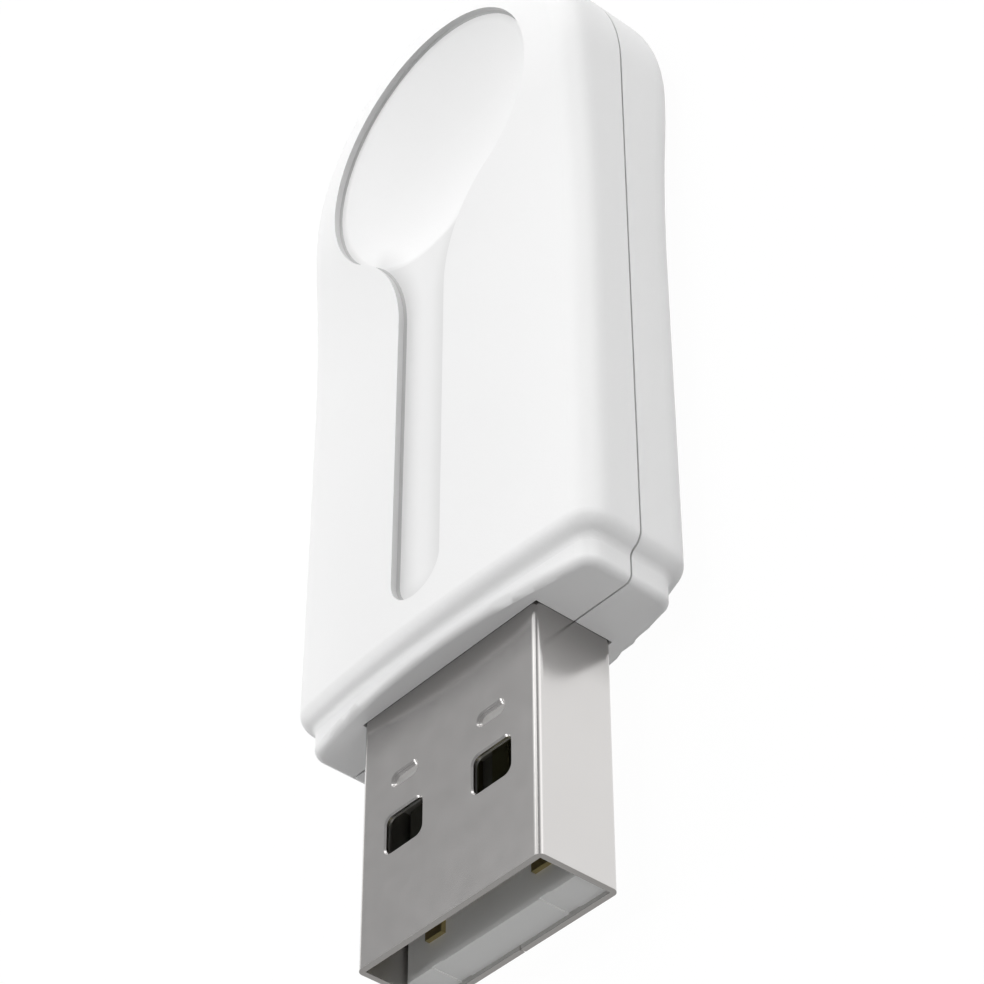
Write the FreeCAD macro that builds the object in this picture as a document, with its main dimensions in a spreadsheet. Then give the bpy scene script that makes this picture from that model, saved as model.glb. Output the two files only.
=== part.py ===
import FreeCAD, Part
import math
import os

import Sketcher
from FreeCAD import Vector

# A plug-in wireless receiver: a white two-piece housing with a thumb recess in its front,
# a flat steel plug at one end, and a small circuit board inside.
#
# Working frame of every sketch, in millimetres: X across the width, Y along the length with the
# plug's mouth at 0 and the housing towards +Y, Z towards the front, 0 at the parting plane.
# Each finished piece is then placed so that the receiver lies on its back, centred on the origin.

DRIVING_SIZES = [
    # plug, to the usual sizes of its standard
    ("plug_width", 12.0, "outside width of the steel shell"),
    ("plug_height", 4.5, "outside height of the steel shell"),
    ("plug_wall", 0.3, "sheet thickness of the shell"),
    ("plug_bend", 0.35, "outside radius of the shell's long bends"),
    ("plug_reach", 13.36, "mouth of the plug to the collar's end face"),
    ("plug_tail", 5.0, "length of shell held inside the housing"),
    ("window_width", 2.5, "shell window, across"),
    ("window_length", 2.0, "shell window, along"),
    ("window_corner", 0.4, "corner radius of a shell window"),
    ("window_pitch", 5.9, "middle to middle of the two windows"),
    ("window_from_mouth", 6.16, "mouth to the middle of the windows"),
    ("punch_bevel", 0.08, "bevel that the punch leaves on the front edges of windows and dimples"),
    ("dimple_width", 1.7, "pressed dimple, across"),
    ("dimple_length", 0.66, "pressed dimple, along"),
    ("dimple_depth", 0.2, "depth of a pressed dimple"),
    ("dimple_bevel", 0.1, "bevel round a dimple's floor"),
    ("dimple_pitch", 5.85, "middle to middle of the two dimples"),
    ("dimple_from_mouth", 8.95, "mouth to the middle of the dimples"),
    ("fold_gap", 0.06, "gap of the fold seam in the shell's rear wall"),
    ("ear_reach", 1.5, "solder ear, out from the shell's side"),
    ("ear_from_tail", 1.76, "start of the solder ears to the plug's tail"),
    ("ear_length", 1.6, "solder ear, along"),
    # tongue and contacts
    ("tongue_width", 11.0, "width of the moulded tongue"),
    ("tongue_front", -0.25, "height of the tongue's front surface"),
    ("tongue_setback", 0.22, "mouth of the plug to the tongue's end"),
    ("cavity_depth", 9.4, "mouth of the plug to the carrier's block"),
    ("contact_width", 1.1, "width of a contact strip"),
    ("contact_thickness", 0.25, "thickness of a contact strip"),
    ("outer_contact_pitch", 7.0, "middle to middle of the outer contacts"),
    ("inner_contact_pitch", 2.0, "middle to middle of the inner contacts"),
    ("outer_contact_start", 1.6, "mouth to the tips of the outer contacts"),
    ("inner_contact_start", 2.6, "mouth to the tips of the inner contacts"),
    ("contact_foot", 1.4, "length of a contact's foot on the board"),
    ("tip_groove_width", 0.7, "mould groove across the tongue's end"),
    ("tip_groove_depth", 0.06, "depth of that groove"),
    # housing
    ("body_width", 20.9, "width of the housing"),
    ("body_length", 44.29, "collar's end face to the housing's far end"),
    ("crown_radius", 42.0, "crown of the front and rear, across and at the round end"),
    ("edge_radius", 1.5, "rounding between the crowned faces and the sides"),
    ("front_rise", 4.33, "parting plane to the front, at the collar end"),
    ("front_waist", 4.22, "parting plane to the front, at the waist"),
    ("front_swell", 4.68, "parting plane to the front, at the round end's middle"),
    ("rear_rise", 4.47, "parting plane to the rear, at the collar end"),
    ("rear_waist", 4.42, "parting plane to the rear, at the waist"),
    ("rear_swell", 4.9, "parting plane to the rear, at the round end's middle"),
    ("waist_from_collar", 21.2, "collar's end face to the waist"),
    ("collar_inset", 0.7, "step from the housing in to the collar"),
    ("collar_corner", 1.0, "rounding between the collar's crowned faces and its sides"),
    ("collar_reveal", 0.7, "collar's end face to the start of the step, at the middle"),
    ("step_arch", 52.0, "radius of the step's line as seen from the front"),
    ("step_round", 0.87, "rounding at the top of the step"),
    ("step_hollow", 0.45, "rounding at the foot of the step"),
    ("collar_round", 0.4, "rounding of the collar's end edge"),
    ("rest_flat", 0.1, "how far the rear is flattened at the collar end, to lie on a table"),
    ("seam_gap", 0.1, "shadow gap of the parting line"),
    ("wall", 1.2, "wall of the housing at the sides"),
    ("end_wall", 2.8, "wall of the housing round the plug"),
    ("ceiling_front", 2.5, "parting plane to the ceiling under the slot"),
    ("ceiling_dish", 1.75, "parting plane to the ceiling under the dish"),
    ("floor_rear", 2.8, "parting plane to the floor of the rear cover"),
    ("inner_bevel", 1.0, "bevel inside the covers, where sides and ceiling meet"),
    ("ceiling_bevel", 0.5, "bevel of the raised ceiling under the slot"),
    ("lip_height", 0.8, "locating lip of the front cover"),
    ("lip_thickness", 0.55, "thickness of the locating lip"),
    ("lip_clearance", 0.05, "lip to the rebate's wall"),
    ("catch_reach", 0.2, "snap catch, out from the lip"),
    ("catch_height", 0.25, "height of a snap catch"),
    ("catch_length", 4.0, "length of a snap catch"),
    ("catch_from_tail", 5.64, "plug's tail to the middle of the near catches"),
    ("catch_from_end", 5.2, "middle of the far catches to the round end's middle"),
    ("plug_clearance", 0.02, "housing's opening round the plug, each side"),
    # thumb recess
    ("recess_depth", 0.45, "height of the recess's side wall"),
    ("dish_radius", 7.6, "radius of the round dish's wall, about the round end's middle"),
    ("dish_ledge", 0.35, "wall of the dish to the rim of its hollow"),
    ("dish_hollow", 34.0, "radius of that hollow"),
    ("ridge_round", 0.8, "rounding of the rim"),
    ("recess_bevel", 0.12, "bevel at the foot of the recess's wall"),
    ("slot_half_width", 1.72, "half width of the slot"),
    ("slot_from_collar", 4.67, "collar's end face to the middle of the slot's round end"),
    ("neck_radius", 8.2, "rounding where the slot opens into the dish"),
    # board and its supports
    ("board_top", -0.55, "height of the board's front surface"),
    ("board_thickness", 1.0, "thickness of the board"),
    ("board_side_gap", 0.95, "board's edge to the housing's inside"),
    ("board_arm", 1.86, "board's arms, beside the plug's tail"),
    ("board_gap", 0.15, "board to the plug's tail"),
    ("pin_radius", 0.75, "locating pin of the rear cover"),
    ("pin_clearance", 0.08, "locating hole round its pin"),
    ("boss_radius", 1.5, "boss under a locating pin"),
    ("pin_from_tail", 9.24, "plug's tail to the near locating pins"),
    ("pin_from_edge", 1.9, "board's edge to the near locating pins"),
    ("pin_from_end", 0.8, "far locating pin to the round end's middle"),
    ("pin_above", 0.25, "locating pin's end above the board"),
    ("rib_thickness", 0.9, "rib that holds the board"),
    ("rib_length", 3.0, "length of such a rib"),
    ("rib_from_edge", 0.55, "board's edge to the ribs' middle"),
    ("rib_from_tail", 2.64, "plug's tail to the middle of the near ribs"),
    ("rib_from_end", 5.2, "middle of the far ribs to the round end's middle"),
    # parts on the board
    ("chip_side", 5.0, "side of the square chips"),
    ("chip_height", 0.85, "height of the square chips"),
    ("chip_bevel", 0.35, "bevelled corner that marks a chip's first contact"),
    ("chip_mark", 0.3, "radius of the round mark in a chip's top"),
    ("radio_from_end", 10.0, "middle of the radio chip to the round end's middle"),
    ("bridge_from_tail", 8.04, "plug's tail to the middle of the bridge chip"),
    ("memory_width", 3.0, "memory chip, between its rows of leads"),
    ("memory_length", 3.0, "memory chip, along its rows of leads"),
    ("memory_from_edge", 3.0, "board's edge to the middle of the memory chip"),
    ("package_height", 1.0, "height of the packages with leads"),
    ("package_lift", 0.1, "board to the underside of such a package"),
    ("small_width", 1.6, "small packages, between their rows of leads"),
    ("small_length", 2.9, "small packages, along their rows of leads"),
    ("regulator_from_edge", 3.1, "board's edge to the middle of the regulator"),
    ("regulator_from_tail", 4.84, "plug's tail to the middle of the regulator"),
    ("surge_from_tail", 3.64, "plug's tail to the middle of the surge protector"),
    ("lead_pitch", 0.65, "pitch of the memory chip's leads"),
    ("small_lead_pitch", 0.95, "pitch of the small packages' leads"),
    ("lead_width", 0.3, "width of a lead"),
    ("lead_thickness", 0.15, "thickness of a lead"),
    ("lead_reach", 0.6, "lead, out from its package"),
    ("crystal_width", 3.2, "crystal, across"),
    ("crystal_length", 2.5, "crystal, along"),
    ("crystal_height", 0.8, "height of the crystal"),
    ("crystal_corner", 0.4, "corner radius of the crystal"),
    ("crystal_rim", 0.2, "rim round the crystal's lid"),
    ("crystal_from_edge", 3.3, "board's edge to the middle of the crystal"),
    ("crystal_beyond", 0.8, "middle of the crystal beyond the radio chip's middle"),
    ("bulk_width", 3.5, "bulk capacitor, across"),
    ("bulk_length", 2.8, "bulk capacitor, along"),
    ("bulk_height", 1.9, "height of the bulk capacitor"),
    ("bulk_from_edge", 3.1, "board's edge to the middle of the bulk capacitor"),
    ("bulk_from_tail", 6.04, "plug's tail to the middle of the bulk capacitor"),
    ("antenna_width", 7.0, "antenna, across"),
    ("antenna_length", 2.0, "antenna, along"),
    ("antenna_height", 0.8, "height of the antenna"),
    ("antenna_from_end", 4.5, "middle of the antenna to the board's far end"),
    ("chip_part_length", 1.6, "chip capacitors and inductors, along their terminals"),
    ("chip_part_width", 0.8, "chip capacitors and inductors, across"),
    ("resistor_length", 1.0, "chip resistors, along their terminals"),
    ("resistor_width", 0.5, "chip resistors, across"),
    ("resistor_height", 0.35, "height of the chip resistors"),
    ("cap_length", 0.25, "end cap of a chip part"),
    ("cap_proud", 0.03, "end cap beyond the part's own sides"),
]

DERIVED_SIZES = [
    ("overall_length", "=plug_reach + body_length"),
    ("body_half", "=body_width / 2"),
    ("end_middle", "=plug_reach + body_length - body_width / 2"),
    ("waist_at", "=plug_reach + waist_from_collar"),
    ("step_at", "=plug_reach + collar_reveal"),
    ("inner_half", "=body_width / 2 - wall"),
    ("inner_start", "=plug_reach + end_wall"),
    ("tail_end", "=plug_reach + plug_tail"),
    ("ear_start", "=tail_end - ear_from_tail"),
    ("board_start", "=tail_end - board_arm"),
    ("dish_rim", "=dish_radius - dish_ledge"),
    ("slot_at", "=plug_reach + slot_from_collar"),
    ("back_low", "=rear_rise - rest_flat"),
    ("seam_half", "=seam_gap / 2"),
    ("board_back", "=board_top - board_thickness"),
    ("board_width", "=2 * inner_half - 2 * board_side_gap"),
    ("memory_side", "=board_width / 2 - memory_from_edge"),
    ("regulator_side", "=board_width / 2 - regulator_from_edge"),
    ("crystal_side", "=board_width / 2 - crystal_from_edge"),
    ("bulk_side", "=board_width / 2 - bulk_from_edge"),
    ("near_pin", "=tail_end + pin_from_tail"),
    ("near_pin_side", "=board_width / 2 - pin_from_edge"),
    ("far_pin", "=end_middle - pin_from_end"),
    ("rib_side", "=board_width / 2 - rib_from_edge"),
    ("near_rib", "=tail_end + rib_from_tail"),
    ("far_rib", "=end_middle - rib_from_end"),
    ("near_catch", "=tail_end + catch_from_tail"),
    ("far_catch", "=end_middle - catch_from_end"),
    ("surge_at", "=tail_end + surge_from_tail"),
    ("regulator_at", "=tail_end + regulator_from_tail"),
    ("bulk_at", "=tail_end + bulk_from_tail"),
    ("bridge_at", "=tail_end + bridge_from_tail"),
    ("radio_at", "=end_middle - radio_from_end"),
    ("crystal_at", "=end_middle - radio_from_end + crystal_beyond"),
    ("antenna_at", "=end_middle + board_width / 2 - antenna_from_end"),
]


def make_sheet(doc):
    """Write every driving size and what follows from it into the document's sheet."""
    sheet = doc.addObject("Spreadsheet::Sheet", "Sizes")
    row = 0
    for alias, number, meaning in DRIVING_SIZES:
        row += 1
        sheet.set(f"A{row}", meaning)
        sheet.set(f"B{row}", str(number))
        sheet.setAlias(f"B{row}", alias)
    for alias, formula in DERIVED_SIZES:
        row += 1
        sheet.set(f"B{row}", formula)
        sheet.setAlias(f"B{row}", alias)
    doc.recompute()
    return sheet


FULL_TURN = 360

doc = FreeCAD.newDocument("receiver")
sheet = make_sheet(doc)


def size(formula):
    """The present number of a formula in the sheet's words."""
    return float(sheet.evalExpression(str(formula)))


def in_sheet(formula):
    """The same formula as an object outside the sheet has to write it."""
    words = {alias for alias, *_ in DRIVING_SIZES + DERIVED_SIZES}
    text, word = "", ""
    for letter in str(formula) + " ":
        if letter.isalnum() or letter == "_":
            word += letter
        else:
            text += ("Sizes." + word if word in words else word) + letter
            word = ""
    return text.strip()


def bind(thing, path, formula):
    thing.setExpression(path, in_sheet(formula))


def place(thing, x="0", y="0", z="0"):
    """Move a finished piece from the working frame to the receiver's own frame."""
    bind(thing, "Placement.Base.x", x)
    bind(thing, "Placement.Base.y", f"({y}) - overall_length / 2")
    bind(thing, "Placement.Base.z", f"({z}) + back_low")


# Sketches

def new_body(name):
    body = doc.addObject("PartDesign::Body", name)
    body.Label = name
    return body


def sketch_on(body, name, plane, offset="0"):
    """A sketch on one of the body's own planes, moved along the plane's normal."""
    drawing = body.newObject("Sketcher::SketchObject", name)
    origin = [one for one in body.Origin.OriginFeatures if one.Role == plane + "_Plane"][0]
    drawing.AttachmentSupport = [(origin, "")]
    drawing.MapMode = "FlatFace"
    bind(drawing, "AttachmentOffset.Base.z", offset)
    return drawing


def pin_point(drawing, piece, end, x, y):
    """Fix one point of the drawing at two formulas."""
    for kind, formula in (("DistanceX", x), ("DistanceY", y)):
        if formula is not None:
            rule = Sketcher.Constraint(kind, -1, 1, piece, end, size(formula))
            index = drawing.addConstraint(rule)
            bind(drawing, f"Constraints[{index}]", formula)


def fix_radius(drawing, piece, formula):
    index = drawing.addConstraint(Sketcher.Constraint("Radius", piece, size(formula)))
    bind(drawing, f"Constraints[{index}]", formula)


def polygon(drawing, points):
    """A closed outline of straight edges through points given as formulas."""
    first = drawing.GeometryCount
    count = len(points)
    spots = [Vector(size(x), size(y), 0) for x, y in points]
    for k in range(count):
        drawing.addGeometry(Part.LineSegment(spots[k], spots[(k + 1) % count]), False)
    for k in range(count):
        after = first + (k + 1) % count
        drawing.addConstraint(Sketcher.Constraint("Coincident", first + k, 2, after, 1))
        pin_point(drawing, first + k, 1, *points[k])


def rectangle(drawing, left, right, low, high):
    polygon(drawing, [(left, low), (right, low), (right, high), (left, high)])


def circle(drawing, x, y, radius):
    piece = drawing.addGeometry(Part.Circle(Vector(size(x), size(y), 0), Vector(0, 0, 1), size(radius)), False)
    pin_point(drawing, piece, 3, x, y)
    fix_radius(drawing, piece, radius)


def arc_about(middle, radius, start, end):
    """A counter-clockwise arc between two angles in degrees."""
    ring = Part.Circle(middle, Vector(0, 0, 1), radius)
    return Part.ArcOfCircle(ring, math.radians(start), math.radians(end))


def rounded_rectangle(drawing, left, right, low, high, radius):
    """Four sides and four tangent corners of one radius."""
    x0, x1, y0, y1, r = (size(one) for one in (left, right, low, high, radius))
    sides = [
        ((x0 + r, y0), (x1 - r, y0), (x1 - r, y0 + r), 270),
        ((x1, y0 + r), (x1, y1 - r), (x1 - r, y1 - r), 0),
        ((x1 - r, y1), (x0 + r, y1), (x0 + r, y1 - r), 90),
        ((x0, y1 - r), (x0, y0 + r), (x0 + r, y0 + r), 180),
    ]
    first = drawing.GeometryCount
    for start, end, middle, angle in sides:
        drawing.addGeometry(Part.LineSegment(Vector(*start, 0), Vector(*end, 0)), False)
        drawing.addGeometry(arc_about(Vector(*middle, 0), r, angle, angle + 90), False)
    for k in range(4):
        line, corner, after = first + 2 * k, first + 2 * k + 1, first + (2 * k + 2) % 8
        drawing.addConstraint(Sketcher.Constraint("Tangent", line, 2, corner, 1))
        drawing.addConstraint(Sketcher.Constraint("Tangent", corner, 2, after, 1))
        if k:
            drawing.addConstraint(Sketcher.Constraint("Equal", first + 1, corner))
    fix_radius(drawing, first + 1, radius)
    pin_point(drawing, first, 1, None, low)
    pin_point(drawing, first, 2, None, low)
    pin_point(drawing, first + 2, 1, right, None)
    pin_point(drawing, first + 2, 2, right, None)
    pin_point(drawing, first + 4, 1, None, high)
    pin_point(drawing, first + 6, 1, left, None)
    drawing.addConstraint(Sketcher.Constraint("Horizontal", first + 4))
    drawing.addConstraint(Sketcher.Constraint("Vertical", first + 6))


def stadium(drawing, half_width, start, middle):
    """A straight end towards the plug, two sides and a half-round far end."""
    w, y0, y1 = size(half_width), size(start), size(middle)
    first = drawing.GeometryCount
    corners = [Vector(-w, y1, 0), Vector(-w, y0, 0), Vector(w, y0, 0), Vector(w, y1, 0)]
    for k in range(3):
        drawing.addGeometry(Part.LineSegment(corners[k], corners[k + 1]), False)
    drawing.addGeometry(arc_about(Vector(0, y1, 0), w, 0, 180), False)
    drawing.addConstraint(Sketcher.Constraint("Coincident", first, 2, first + 1, 1))
    drawing.addConstraint(Sketcher.Constraint("Coincident", first + 1, 2, first + 2, 1))
    drawing.addConstraint(Sketcher.Constraint("Coincident", first + 2, 2, first + 3, 1))
    drawing.addConstraint(Sketcher.Constraint("Coincident", first + 3, 2, first, 1))
    pin_point(drawing, first, 1, f"-({half_width})", middle)
    pin_point(drawing, first, 2, f"-({half_width})", start)
    pin_point(drawing, first + 2, 1, half_width, start)
    pin_point(drawing, first + 2, 2, half_width, middle)
    pin_point(drawing, first + 3, 3, None, middle)


# Features

def pad(body, drawing, length, backwards=False, both_ways=False):
    feature = body.newObject("PartDesign::Pad", drawing.Name + "_pad")
    feature.Profile = drawing
    feature.Reversed = backwards
    feature.Midplane = both_ways
    bind(feature, "Length", length)
    doc.recompute()
    return feature


def pocket(body, drawing, length, backwards=False, both_ways=False):
    """Cut against the drawing's normal, or along it when backwards, and check that it cut."""
    before = body.Shape.Volume
    feature = body.newObject("PartDesign::Pocket", drawing.Name + "_cut")
    feature.Profile = drawing
    feature.Reversed = backwards
    feature.Midplane = both_ways
    bind(feature, "Length", length)
    doc.recompute()
    if not body.Shape.Volume < before:
        raise RuntimeError(f"{feature.Name} cuts nothing")
    return feature


def edge_names(shape, wanted):
    """Names of the edges whose middle point satisfies the test."""
    names = []
    for number, edge in enumerate(shape.Edges, 1):
        middle = edge.valueAt((edge.FirstParameter + edge.LastParameter) / 2)
        if wanted(middle, edge):
            names.append(f"Edge{number}")
    return names


def dress(body, kind, name, radius, wanted):
    """A fillet or chamfer on the edges of the body's present solid that satisfy the test."""
    base = body.Tip
    names = edge_names(base.Shape, wanted)
    if not names:
        raise RuntimeError(f"{name} finds no edge")
    feature = body.newObject("PartDesign::" + kind, name)
    feature.Base = (base, names)
    bind(feature, "Radius" if kind == "Fillet" else "Size", radius)
    doc.recompute()
    if "Invalid" in feature.State:
        raise RuntimeError(f"{name} can't be made")
    return feature


def dress_part(kind, name, base, radius, wanted):
    """The same on a solid that isn't a body."""
    feature = doc.addObject(kind, name)
    feature.Base = base
    names = edge_names(base.Shape, wanted)
    feature.Edges = [(int(one[4:]), size(radius), size(radius)) for one in names]
    doc.recompute()
    if not names or "Invalid" in feature.State:
        raise RuntimeError(f"{name} can't be made")
    return feature


# The housing's shape

def side_path(face, sink="0"):
    """How high the front or rear stands along the middle: a line, a hollow arc and a dome's arc.

    Returns the path's points and arcs with heights as positive numbers.
    """
    start = Vector(size("plug_reach - 1"), size(f"{face}_rise - {sink}"), 0)
    waist = Vector(size("waist_at"), size(f"{face}_waist - {sink}"), 0)
    radius = size("crown_radius")
    dome = Vector(size("end_middle"), size(f"{face}_swell - {sink}") - radius, 0)
    along = (waist - start).normalize()
    up = Vector(-along.y, along.x, 0)
    reach = waist - dome
    hollow_radius = (reach.dot(reach) - radius ** 2) / (2 * (radius - reach.dot(up)))
    hollow = waist + up * hollow_radius
    meet = dome + (hollow - dome).normalize() * radius
    end = dome + Vector(0, radius, 0)
    return start, waist, hollow, hollow_radius, meet, dome, radius, end


def step_line(x):
    """Where the arched lower end of the housing stands at a distance from the middle."""
    arch = size("step_arch")
    return size("step_at") + arch - math.sqrt(arch ** 2 - x ** 2)


def draw_side_path(drawing, face, sign, sink="0"):
    """The path of the crown in the plane through the middle, mirrored for the rear."""
    start, waist, hollow, hollow_radius, meet, dome, radius, end = side_path(face, sink)
    turn = 1 if sign == "" else -1

    def spot(point):
        return Vector(point.x, turn * point.y, 0)

    def angle(point, middle):
        return math.degrees(math.atan2(turn * (point.y - middle.y), point.x - middle.x))

    drawing.addGeometry(Part.LineSegment(spot(start), spot(waist)), False)
    hollow_ends, dome_ends = (waist, meet), (end, meet)
    if turn < 0:
        hollow_ends, dome_ends = (meet, waist), (meet, end)
    for middle, r, ends in ((hollow, hollow_radius, hollow_ends), (dome, radius, dome_ends)):
        a, b = (angle(one, middle) for one in ends)
        drawing.addGeometry(arc_about(spot(middle), r, a, b if b > a else b + FULL_TURN), False)
    near, far = (1, 2) if turn > 0 else (2, 1)
    drawing.addConstraint(Sketcher.Constraint("Tangent", 0, 2, 1, near))
    drawing.addConstraint(Sketcher.Constraint("Tangent", 1, far, 2, far))
    pin_point(drawing, 0, 1, "plug_reach - 1", f"{sign}({face}_rise - {sink})")
    pin_point(drawing, 0, 2, "waist_at", f"{sign}({face}_waist - {sink})")
    pin_point(drawing, 2, 3, "end_middle", f"{sign}({face}_swell - {sink} - crown_radius)")
    pin_point(drawing, 2, near, "end_middle", None)
    fix_radius(drawing, 2, "crown_radius")


def draw_section(drawing, face, sign, top, inset, rounding, base):
    """The housing's section: crowned face, rounded edges and upright sides, stepped in by an inset."""
    turn = 1 if sign == "" else -1
    half, corner = size(f"body_half - ({inset})"), size(rounding)
    radius, low = size(f"crown_radius - ({inset})"), size(base)
    middle = Vector(0, size(f"{top} - crown_radius"), 0)
    bend = Vector(half - corner, middle.y + math.sqrt((radius - corner) ** 2 - (half - corner) ** 2), 0)
    lean = math.degrees(math.atan2(bend.x, bend.y - middle.y))

    def add_line(x0, y0, x1, y1):
        drawing.addGeometry(Part.LineSegment(Vector(x0, turn * y0, 0), Vector(x1, turn * y1, 0)), False)

    def add_arc(centre, r, start, end):
        if turn < 0:
            start, end = -end, -start
        drawing.addGeometry(arc_about(Vector(centre.x, turn * centre.y, 0), r, start, end), False)

    add_line(-half, low, half, low)
    add_line(half, low, half, bend.y)
    add_arc(bend, corner, 0, 90 - lean)
    add_arc(middle, radius, 90 - lean, 90 + lean)
    add_arc(Vector(-bend.x, bend.y, 0), corner, 90 + lean, 180)
    add_line(-half, bend.y, -half, low)
    near, far = (1, 2) if turn > 0 else (2, 1)
    drawing.addConstraint(Sketcher.Constraint("Coincident", 0, 2, 1, 1))
    drawing.addConstraint(Sketcher.Constraint("Tangent", 1, 2, 2, near))
    drawing.addConstraint(Sketcher.Constraint("Tangent", 2, far, 3, near))
    drawing.addConstraint(Sketcher.Constraint("Tangent", 3, far, 4, near))
    drawing.addConstraint(Sketcher.Constraint("Tangent", 4, far, 5, 1))
    drawing.addConstraint(Sketcher.Constraint("Coincident", 5, 2, 0, 1))
    drawing.addConstraint(Sketcher.Constraint("Vertical", 1))
    drawing.addConstraint(Sketcher.Constraint("Vertical", 5))
    pin_point(drawing, 0, 1, f"-(body_half - ({inset}))", f"{sign}({base})")
    pin_point(drawing, 0, 2, f"body_half - ({inset})", f"{sign}({base})")
    pin_point(drawing, 3, 3, "0", f"{sign}({top} - crown_radius)")
    fix_radius(drawing, 3, f"crown_radius - ({inset})")
    fix_radius(drawing, 2, rounding)
    fix_radius(drawing, 4, rounding)


def draw_half_section(drawing, face, sign, sink="0"):
    """The right half of the same section at the round end's middle, closed along the middle."""
    turn = 1 if sign == "" else -1
    half, corner, radius = size("body_half"), size("edge_radius"), size("crown_radius")
    low, top = size("seam_half"), size(f"{face}_swell - {sink}")
    middle = Vector(0, top - radius, 0)
    bend = Vector(half - corner, middle.y + math.sqrt((radius - corner) ** 2 - (half - corner) ** 2), 0)
    lean = math.degrees(math.atan2(bend.x, bend.y - middle.y))
    lines = [((0, low), (half, low)), ((half, low), (half, bend.y)), ((0, top), (0, low))]
    for start, end in lines:
        points = [Vector(x, turn * y, 0) for x, y in (start, end)]
        drawing.addGeometry(Part.LineSegment(*points), False)
    for centre, r, start, end in ((bend, corner, 0, 90 - lean), (middle, radius, 90 - lean, 90)):
        if turn < 0:
            start, end = -end, -start
        drawing.addGeometry(arc_about(Vector(centre.x, turn * centre.y, 0), r, start, end), False)
    near, far = (1, 2) if turn > 0 else (2, 1)
    drawing.addConstraint(Sketcher.Constraint("Coincident", 0, 2, 1, 1))
    drawing.addConstraint(Sketcher.Constraint("Tangent", 1, 2, 3, near))
    drawing.addConstraint(Sketcher.Constraint("Tangent", 3, far, 4, near))
    drawing.addConstraint(Sketcher.Constraint("Coincident", 4, far, 2, 1))
    drawing.addConstraint(Sketcher.Constraint("Coincident", 2, 2, 0, 1))
    drawing.addConstraint(Sketcher.Constraint("Vertical", 1))
    pin_point(drawing, 0, 1, "0", f"{sign}seam_half")
    pin_point(drawing, 0, 2, "body_half", f"{sign}seam_half")
    pin_point(drawing, 2, 1, "0", None)
    pin_point(drawing, 4, 3, "0", f"{sign}({face}_swell - {sink} - crown_radius)")
    fix_radius(drawing, 4, "crown_radius")
    fix_radius(drawing, 3, "edge_radius")


def draw_lower_end(drawing):
    """What lies beyond the housing's arched lower end, seen from the front."""
    arch, wide, low = size("step_arch"), size("body_half + 1"), size("plug_reach - 3")
    lean = math.degrees(math.asin(wide / arch))
    edge = step_line(wide)
    corners = [Vector(wide, edge, 0), Vector(wide, low, 0), Vector(-wide, low, 0), Vector(-wide, edge, 0)]
    drawing.addGeometry(arc_about(Vector(0, size("step_at") + arch, 0), arch, 270 - lean, 270 + lean), False)
    for k in range(3):
        drawing.addGeometry(Part.LineSegment(corners[k], corners[k + 1]), False)
    for k in range(4):
        drawing.addConstraint(Sketcher.Constraint("Coincident", k, 2, (k + 1) % 4, 1))
    height = "step_at + step_arch - sqrt(step_arch ^ 2 - (body_half + 1) ^ 2)"
    pin_point(drawing, 1, 1, "body_half + 1", height)
    pin_point(drawing, 1, 2, "body_half + 1", "plug_reach - 3")
    pin_point(drawing, 3, 1, "-(body_half + 1)", "plug_reach - 3")
    pin_point(drawing, 3, 2, "-(body_half + 1)", height)
    pin_point(drawing, 0, 3, None, "step_at + step_arch")


def sweep_length(body, face, sign, sink="0"):
    """Sweep the section along the front's or rear's own line, from the plug to the round end."""
    path = sketch_on(body, body.Name + "_path", "YZ")
    draw_side_path(path, face, sign, sink)
    section = sketch_on(body, body.Name + "_section", "XZ", "-end_middle")
    draw_section(section, face, sign, f"{face}_swell - {sink}", "0", "edge_radius", "-2")
    doc.recompute()
    sweep = body.newObject("PartDesign::AdditivePipe", body.Name + "_sweep")
    sweep.Profile = section
    sweep.Spine = (path, [])
    doc.recompute()


def trim_sweep(body, face, sign):
    """Cut the swept length flat at the parting line and to its arch at the lower end."""
    spare = sketch_on(body, face + "_spare", "XY", f"{sign}seam_half")
    rectangle(spare, "-(body_half + 1)", "body_half + 1", "plug_reach - 3", "end_middle + 1")
    pocket(body, spare, "5", backwards=sign == "-")
    beyond = sketch_on(body, face + "_beyond", "XY", f"{sign}seam_half")
    draw_lower_end(beyond)
    pocket(body, beyond, f"{face}_swell + {face}_rise", backwards=sign == "")


def turn_round_end(body, face, sign, sink="0"):
    """Turn the half section about the round end's middle."""
    half = sketch_on(body, body.Name + "_half_section", "XZ", "-end_middle")
    draw_half_section(half, face, sign, sink)
    doc.recompute()
    end = body.newObject("PartDesign::Revolution", body.Name + "_round_end")
    end.Profile = half
    end.ReferenceAxis = (half, ["V_Axis"])
    end.Angle = FULL_TURN / 2
    doc.recompute()


def cover_form(face, sign):
    """The outer form of one cover: crowned length, round end and the stepped collar."""
    body = new_body(face + "_form")
    seam = size("seam_half")
    sweep_length(body, face, sign)
    trim_sweep(body, face, sign)
    turn_round_end(body, face, sign)

    def on_lower_end(point, edge):
        return abs(point.y - step_line(point.x)) < 0.01 and abs(point.z) > seam + 0.01

    def on_step_foot(point, edge):
        return abs(point.y - step_line(point.x)) < 0.1 and abs(point.z) > seam + 0.01

    def on_collar_end(point, edge):
        return abs(point.y - size("plug_reach")) < 0.001 and abs(point.z) > seam + 0.01

    dress(body, "Fillet", face + "_step_top", "step_round", on_lower_end)
    collar = sketch_on(body, face + "_collar", "XZ", "-plug_reach")
    draw_section(collar, face, sign, face + "_rise", "collar_inset", "collar_corner", "seam_half")
    pad(body, collar, "collar_reveal + step_round + 2", backwards=True)
    dress(body, "Fillet", face + "_step_foot", "step_hollow", on_step_foot)
    dress(body, "Fillet", face + "_collar_edge", "collar_round", on_collar_end)
    return body


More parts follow.
